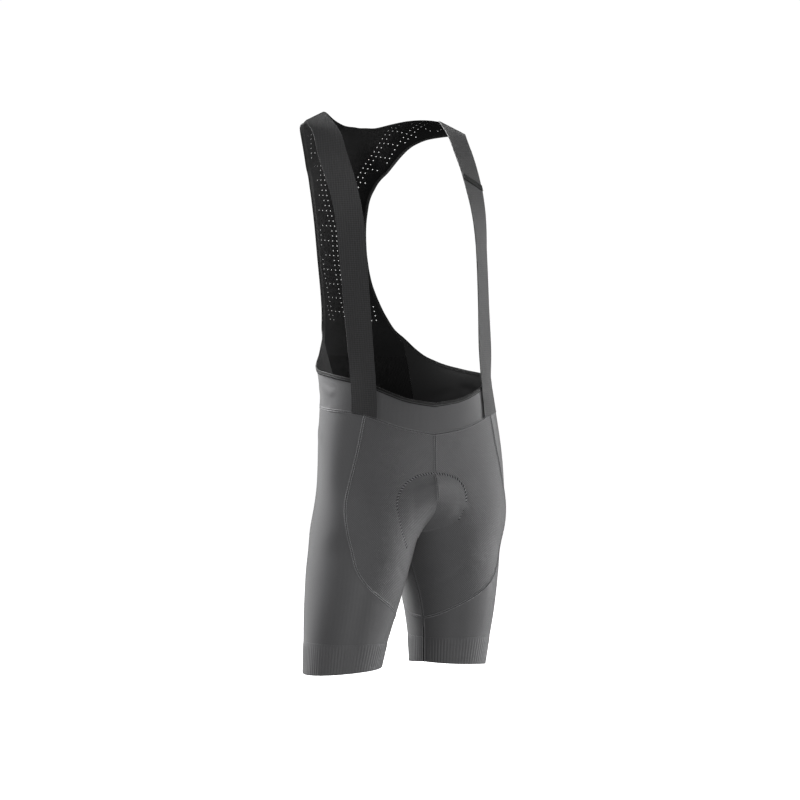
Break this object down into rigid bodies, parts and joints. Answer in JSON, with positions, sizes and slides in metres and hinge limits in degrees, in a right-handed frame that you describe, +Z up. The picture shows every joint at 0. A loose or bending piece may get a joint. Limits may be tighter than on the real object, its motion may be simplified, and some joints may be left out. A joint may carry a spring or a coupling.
{
  "type": "cycling bib shorts",
  "caption": "Worn pair of cycling bib shorts with an empty body: snug legs with ribbed hems, a wide waistband, a perforated back panel and elastic shoulder straps.",
  "frame": {"origin": "midway between the two shoulder seams, where the wearer's shoulders carry the straps", "axes": "+Z up, the garment faces -Y, +X towards the wearer's left"},
  "size_m": [0.3266, 0.2955, 0.8832],
  "materials": {
    "shell": "smooth mid-grey stretch knit",
    "band": "smooth mid-grey stretch knit",
    "tape": "flat black elastic tape",
    "lower_back": "black ribbed knit",
    "mesh": "black perforated knit",
    "strap": "dark grey ribbed elastic"
  },
  "bodies": {
    "root": {"front_right": "shell", "front_left": "shell", "seat_right": "shell", "seat_left": "shell", "leg_right": "shell", "leg_left": "shell", "waistband": "band", "edge_tape": "tape", "lower_back": "lower_back", "back_mesh": "mesh", "strap_right": "strap", "strap_left": "strap", "strap_tab": "tape"}
  },
  "joints": []
}
